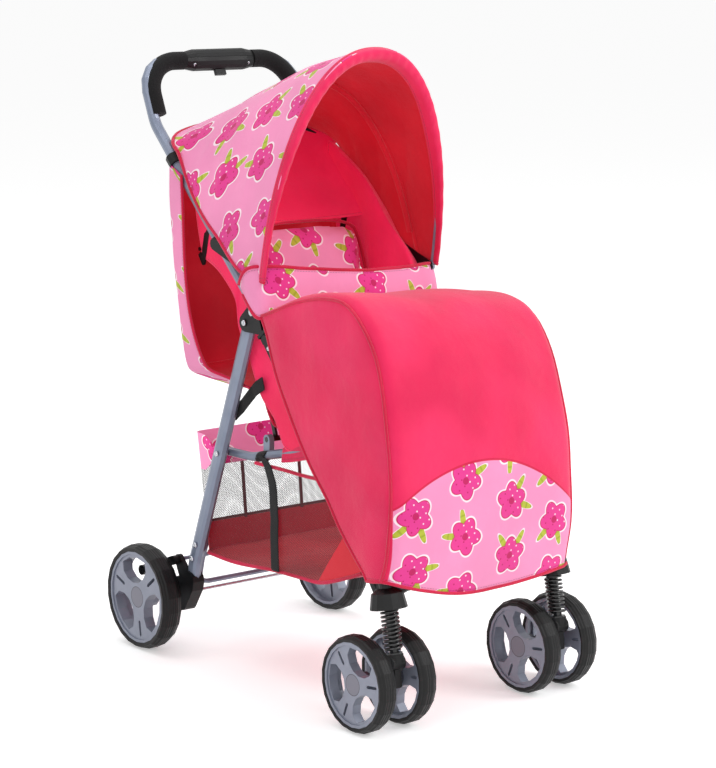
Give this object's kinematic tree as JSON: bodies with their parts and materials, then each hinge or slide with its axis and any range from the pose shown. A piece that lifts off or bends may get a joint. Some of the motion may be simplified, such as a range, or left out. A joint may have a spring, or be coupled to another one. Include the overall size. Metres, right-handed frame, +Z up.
{
  "type": "doll stroller",
  "caption": "Folding doll stroller with sprung twin swivel casters, a reclining seat, a folding hood, a padded foot cover, an under-seat basket and a foot brake.",
  "frame": {"origin": "middle of the box round the stroller, on the floor", "axes": "+Z up, the doll looks along -Y, +X to the right of someone who looks at the stroller from the front"},
  "size_m": [0.299, 0.5055, 0.6823],
  "materials": {
    "frame_paint": "satin",
    "black_plastic": "satin",
    "grey_plastic": "satin",
    "bright_steel": "polished",
    "black_steel": "satin",
    "tyre": "matte",
    "foam": "matte",
    "pink_fabric": "matte",
    "dark_fabric": "matte",
    "print_fabric": "matte"
  },
  "bodies": {
    "front_frame": {"front_tube_left": "frame_paint", "front_tube_right": "frame_paint", "hinge_bracket_left": "black_plastic", "hinge_bracket_right": "black_plastic", "handle_pivot_pin_left": "bright_steel", "handle_pivot_pin_right": "bright_steel", "front_crossbar": "black_plastic", "suspension_spring_left": "black_steel", "suspension_spring_right": "black_steel", "foot_cover": "pink_fabric", "seat_sling": "pink_fabric"},
    "caster_stem_left": {"caster_stem_left": "black_steel"},
    "caster_stem_right": {"caster_stem_right": "black_steel"},
    "caster_fork_left": {"caster_fork_left": "black_plastic", "front_axle_left": "bright_steel"},
    "caster_fork_right": {"caster_fork_right": "black_plastic", "front_axle_right": "bright_steel"},
    "front_wheel_left_outer": {"front_wheel_left_outer_rim": "grey_plastic", "front_wheel_left_outer_tyre": "tyre"},
    "front_wheel_left_inner": {"front_wheel_left_inner_rim": "grey_plastic", "front_wheel_left_inner_tyre": "tyre"},
    "front_wheel_right_outer": {"front_wheel_right_outer_rim": "grey_plastic", "front_wheel_right_outer_tyre": "tyre"},
    "front_wheel_right_inner": {"front_wheel_right_inner_rim": "grey_plastic", "front_wheel_right_inner_tyre": "tyre"},
    "rear_frame": {"rear_leg_left": "frame_paint", "rear_leg_right": "frame_paint", "rear_brace": "frame_paint", "axle_bracket_left": "black_plastic", "axle_bracket_right": "black_plastic", "cross_rod": "bright_steel", "basket": "dark_fabric"},
    "rear_wheel_left": {"rear_wheel_left_rim": "grey_plastic", "rear_wheel_left_tyre": "tyre"},
    "rear_wheel_right": {"rear_wheel_right_rim": "grey_plastic", "rear_wheel_right_tyre": "tyre"},
    "brake": {"brake_bar": "frame_paint", "brake_pedal_left": "black_plastic", "brake_pedal_right": "black_plastic"},
    "seat_frame": {"seat_frame": "frame_paint"},
    "backrest": {"backrest_frame": "black_steel", "backrest_pad": "print_fabric"},
    "handle_frame": {"handle_tube": "frame_paint", "foam_grip_left": "foam", "foam_grip_right": "foam", "grip_housing_upper": "black_plastic", "grip_housing_lower": "black_plastic", "hood_clip_left": "black_plastic", "hood_clip_right": "black_plastic", "hood_rear_bow": "black_plastic", "back_fabric": "pink_fabric", "back_curtain": "print_fabric", "hood_fabric": "print_fabric"},
    "hood_front_bow": {"hood_front_bow": "frame_paint"},
    "hood_mid_bow": {"hood_mid_bow": "frame_paint"},
    "recline_arm_left": {"recline_arm_left": "black_plastic"},
    "recline_arm_right": {"recline_arm_right": "black_plastic"},
    "latch_lever_left": {"latch_lever_left": "black_plastic"},
    "latch_lever_right": {"latch_lever_right": "black_plastic"}
  },
  "joints": [
    {"name": "handle_fold", "type": "hinge", "parent": "front_frame", "child": "handle_frame", "pos_m": [0, 0.01165, 0.4042], "axis": [1, 0, 0], "range_deg": [0, 150], "deforming": ["foot_cover", "seat_sling", "back_fabric", "hood_fabric", "back_curtain", "basket"]},
    {"name": "leg_fold", "type": "hinge", "parent": "front_frame", "child": "rear_frame", "pos_m": [0, 0.02535, 0.3911], "axis": [1, 0, 0], "range_deg": [-30, 0]},
    {"name": "seat_fold", "type": "hinge", "parent": "rear_frame", "child": "seat_frame", "pos_m": [0, 0.08145, 0.2392], "axis": [1, 0, 0], "range_deg": [0, 58.05]},
    {"name": "backrest_recline", "type": "hinge", "parent": "seat_frame", "child": "backrest", "pos_m": [0, 0.01935, 0.262], "axis": [1, 0, 0], "range_deg": [-16, 0]},
    {"name": "hood_front_swing", "type": "hinge", "parent": "handle_frame", "child": "hood_front_bow", "pos_m": [0, -0.01265, 0.438], "axis": [1, 0, 0], "range_deg": [-51, 0]},
    {"name": "hood_mid_swing", "type": "hinge", "parent": "handle_frame", "child": "hood_mid_bow", "pos_m": [0, 0.01135, 0.4465], "axis": [1, 0, 0], "range_deg": [-25, 0]},
    {"name": "recline_arm_left_swing", "type": "hinge", "parent": "handle_frame", "child": "recline_arm_left", "pos_m": [-0.0951, 0.11045, 0.50197], "axis": [1, 0, 0], "range_deg": [-25, 0]},
    {"name": "recline_arm_right_swing", "type": "hinge", "parent": "handle_frame", "child": "recline_arm_right", "pos_m": [0.0951, 0.11045, 0.50197], "axis": [1, 0, 0], "range_deg": [-25, 0]},
    {"name": "caster_left_spring", "type": "slide", "parent": "front_frame", "child": "caster_stem_left", "axis": [0, 0.1822, 0.9833], "range_m": [0, 0.008], "stiffness_N_per_m": 1500, "springref_m": -0.01, "deforming": ["suspension_spring_left"]},
    {"name": "caster_right_spring", "type": "slide", "parent": "front_frame", "child": "caster_stem_right", "axis": [0, 0.1822, 0.9833], "range_m": [0, 0.008], "stiffness_N_per_m": 1500, "springref_m": -0.01, "deforming": ["suspension_spring_right"]},
    {"name": "caster_left_swivel", "type": "hinge", "parent": "caster_stem_left", "child": "caster_fork_left", "pos_m": [-0.1126, -0.21865, 0.1285], "axis": [0, 0.1822, 0.9833], "continuous": true},
    {"name": "caster_right_swivel", "type": "hinge", "parent": "caster_stem_right", "child": "caster_fork_right", "pos_m": [0.1126, -0.21865, 0.1285], "axis": [0, 0.1822, 0.9833], "continuous": true},
    {"name": "front_wheel_left_outer_spin", "type": "hinge", "parent": "caster_fork_left", "child": "front_wheel_left_outer", "pos_m": [-0.1388, -0.20265, 0.0507], "axis": [1, 0, 0], "continuous": true},
    {"name": "front_wheel_left_inner_spin", "type": "hinge", "parent": "caster_fork_left", "child": "front_wheel_left_inner", "pos_m": [-0.0864, -0.20265, 0.0507], "axis": [1, 0, 0], "continuous": true},
    {"name": "front_wheel_right_outer_spin", "type": "hinge", "parent": "caster_fork_right", "child": "front_wheel_right_outer", "pos_m": [0.1388, -0.20265, 0.0507], "axis": [1, 0, 0], "continuous": true},
    {"name": "front_wheel_right_inner_spin", "type": "hinge", "parent": "caster_fork_right", "child": "front_wheel_right_inner", "pos_m": [0.0864, -0.20265, 0.0507], "axis": [1, 0, 0], "continuous": true},
    {"name": "rear_wheel_left_spin", "type": "hinge", "parent": "rear_frame", "child": "rear_wheel_left", "pos_m": [-0.1346, 0.19335, 0.06], "axis": [1, 0, 0], "continuous": true},
    {"name": "rear_wheel_right_spin", "type": "hinge", "parent": "rear_frame", "child": "rear_wheel_right", "pos_m": [0.1346, 0.19335, 0.06], "axis": [1, 0, 0], "continuous": true},
    {"name": "brake_press", "type": "hinge", "parent": "rear_frame", "child": "brake", "pos_m": [0, 0.15735, 0.106], "axis": [-1, 0, 0], "range_deg": [0, 14]},
    {"name": "latch_lever_left_pull", "type": "hinge", "parent": "front_frame", "child": "latch_lever_left", "pos_m": [-0.11165, -0.01685, 0.3682], "axis": [1, 0, 0], "range_deg": [0, 25], "stiffness_Nm_per_rad": 0.05, "springref_deg": -11.46},
    {"name": "latch_lever_right_pull", "type": "hinge", "parent": "front_frame", "child": "latch_lever_right", "pos_m": [0.11165, -0.01685, 0.3682], "axis": [1, 0, 0], "range_deg": [0, 25], "stiffness_Nm_per_rad": 0.05, "springref_deg": -11.46}
  ],
  "couplings": [
    {"joint": "leg_fold", "follows": "handle_fold", "ratio": -0.2},
    {"joint": "seat_fold", "follows": "handle_fold", "ratio": 0.387},
    {"joint": "hood_front_swing", "follows": "handle_fold", "ratio": -0.34},
    {"joint": "hood_mid_swing", "follows": "handle_fold", "ratio": -0.1666}
  ]
}
